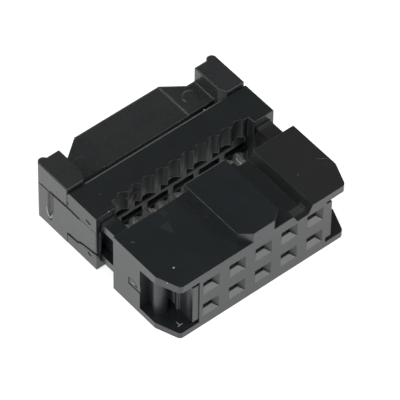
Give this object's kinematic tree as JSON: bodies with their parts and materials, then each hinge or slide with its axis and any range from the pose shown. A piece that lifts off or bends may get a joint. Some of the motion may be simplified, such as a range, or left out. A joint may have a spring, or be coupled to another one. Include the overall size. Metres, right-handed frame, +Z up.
{
  "type": "idc socket",
  "caption": "Black ribbon-cable socket with keyed pin face, pocketed wings, press-on cover with scalloped wire comb, strain relief bar and pointed wire forks.",
  "frame": {"origin": "middle of the underside of the whole part, on the surface it lies on", "axes": "+X along the rows of pin holes, -Y out of the pin face, +Z up through the key"},
  "size_m": [0.0176, 0.0176, 0.007],
  "materials": {
    "housing_plastic": "black glass-filled polyester, satin mould finish",
    "cover_plastic": "black glass-filled polyester, satin mould finish",
    "relief_plastic": "black glass-filled polyester, satin mould finish",
    "contact_strip": "copper alloy strip with a pale plated skin"
  },
  "bodies": {
    "housing": {"socket_housing": "housing_plastic", "contact_upper_1": "contact_strip", "contact_upper_2": "contact_strip", "contact_upper_3": "contact_strip", "contact_upper_4": "contact_strip", "contact_upper_5": "contact_strip", "contact_lower_1": "contact_strip", "contact_lower_2": "contact_strip", "contact_lower_3": "contact_strip", "contact_lower_4": "contact_strip", "contact_lower_5": "contact_strip"},
    "cover": {"cable_cover": "cover_plastic", "strain_relief": "relief_plastic"}
  },
  "joints": [
    {"name": "cover_press", "type": "slide", "parent": "housing", "child": "cover", "axis": [0, -1, 0], "range_m": [0, 0.0021]}
  ]
}
